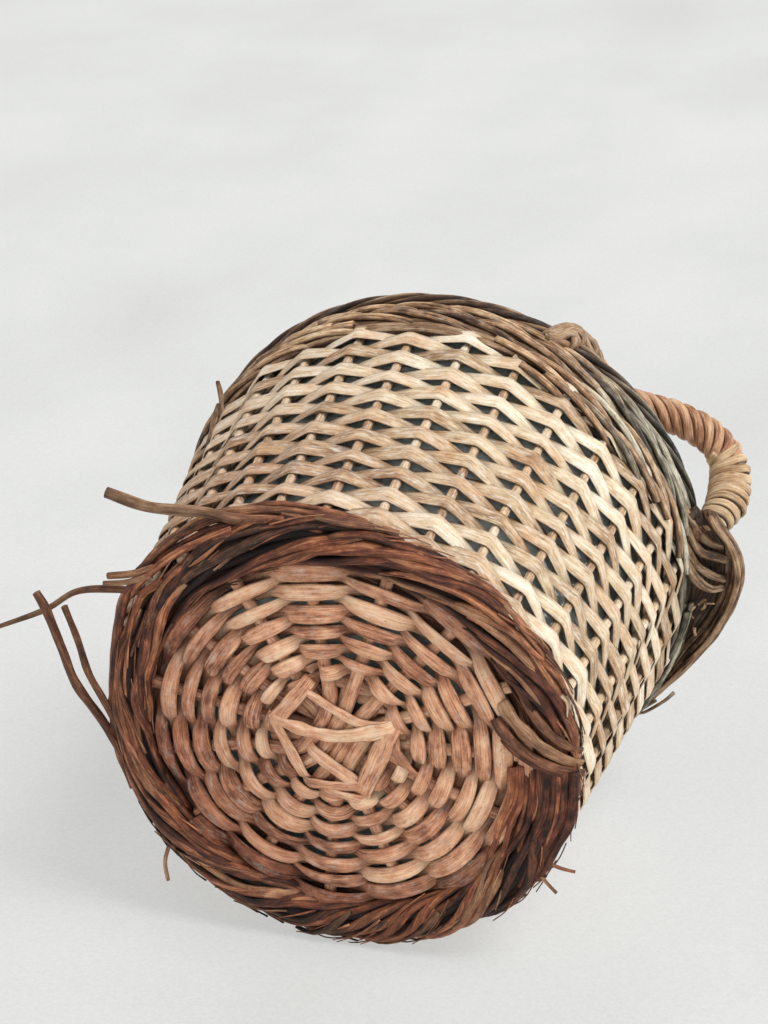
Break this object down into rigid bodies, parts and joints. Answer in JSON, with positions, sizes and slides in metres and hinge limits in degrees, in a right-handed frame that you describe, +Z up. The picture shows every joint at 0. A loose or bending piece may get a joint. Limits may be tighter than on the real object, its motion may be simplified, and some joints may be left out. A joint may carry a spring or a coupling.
{
  "type": "wicker-covered demijohn",
  "caption": "Squat glass demijohn in a willow basket: twisted foot border, fanned stick base, woven side, shoulder band, cape to the neck, roped handles with whipped ends, and a cork.",
  "frame": {"origin": "centre of the plane that the foot border stands on, on the bottle's axis", "axes": "+Z up along the bottle's axis towards the cork; the handles stand on the +X and -X sides, turned 28 degrees clockwise seen from above"},
  "size_m": [0.3488, 0.2998, 0.397],
  "materials": {
    "glass": "dark green blown glass, glossy",
    "cork": "plain cut cork, matte",
    "base_willow": "stripped willow gone pinkish brown, satin",
    "brown_willow": "willow with its bark, dark reddish brown, splintered",
    "pale_willow": "split stripped willow, straw coloured, satin",
    "grey_willow": "willow rods weathered grey brown, dull",
    "rope_willow": "twisted willow rods, warm brown, satin",
    "whipping_willow": "flat willow skein, straw coloured, satin"
  },
  "bodies": {
    "demijohn": {"glass_bottle": "glass", "base_sticks_lower": "base_willow", "base_sticks_upper": "base_willow", "base_stick_odd": "base_willow", "base_weave": "base_willow", "base_lashing": "base_willow", "foot_border_rod_1": "brown_willow", "foot_border_rod_2": "brown_willow", "foot_border_rod_3": "brown_willow", "foot_border_rod_4": "brown_willow", "side_stake_01": "pale_willow", "side_stake_02": "pale_willow", "side_stake_03": "pale_willow", "side_stake_04": "pale_willow", "side_stake_05": "pale_willow", "side_stake_06": "pale_willow", "side_stake_07": "pale_willow", "side_stake_08": "pale_willow", "side_stake_09": "pale_willow", "side_stake_10": "pale_willow", "side_stake_11": "pale_willow", "side_stake_12": "pale_willow", "side_stake_13": "pale_willow", "side_stake_14": "pale_willow", "side_stake_15": "pale_willow", "side_stake_16": "pale_willow", "side_stake_17": "pale_willow", "side_stake_18": "pale_willow", "side_stake_19": "pale_willow", "side_stake_20": "pale_willow", "side_stake_21": "pale_willow", "side_stake_22": "pale_willow", "side_stake_23": "pale_willow", "side_stake_24": "pale_willow", "side_stake_25": "pale_willow", "side_stake_26": "pale_willow", "side_stake_27": "pale_willow", "side_stake_28": "pale_willow", "side_stake_29": "pale_willow", "side_weave": "pale_willow", "shoulder_band_lower": "grey_willow", "shoulder_band_middle": "grey_willow", "shoulder_band_upper": "grey_willow", "top_border": "grey_willow", "cape_weave": "pale_willow", "neck_collar": "grey_willow", "handle_a_rope": "rope_willow", "handle_a_whipping_near": "whipping_willow", "handle_a_whipping_far": "whipping_willow", "handle_b_rope": "rope_willow", "handle_b_whipping_near": "whipping_willow", "handle_b_whipping_far": "whipping_willow", "sprung_cane_cut": "brown_willow", "sprung_cane_thin": "brown_willow", "sprung_cane_long": "brown_willow", "sprung_cane_short": "brown_willow"},
    "cork": {"cork_stopper": "cork"}
  },
  "joints": [
    {"name": "cork_lift", "type": "slide", "parent": "demijohn", "child": "cork", "axis": [0, 0, 1], "range_m": [0, 0.05]}
  ]
}
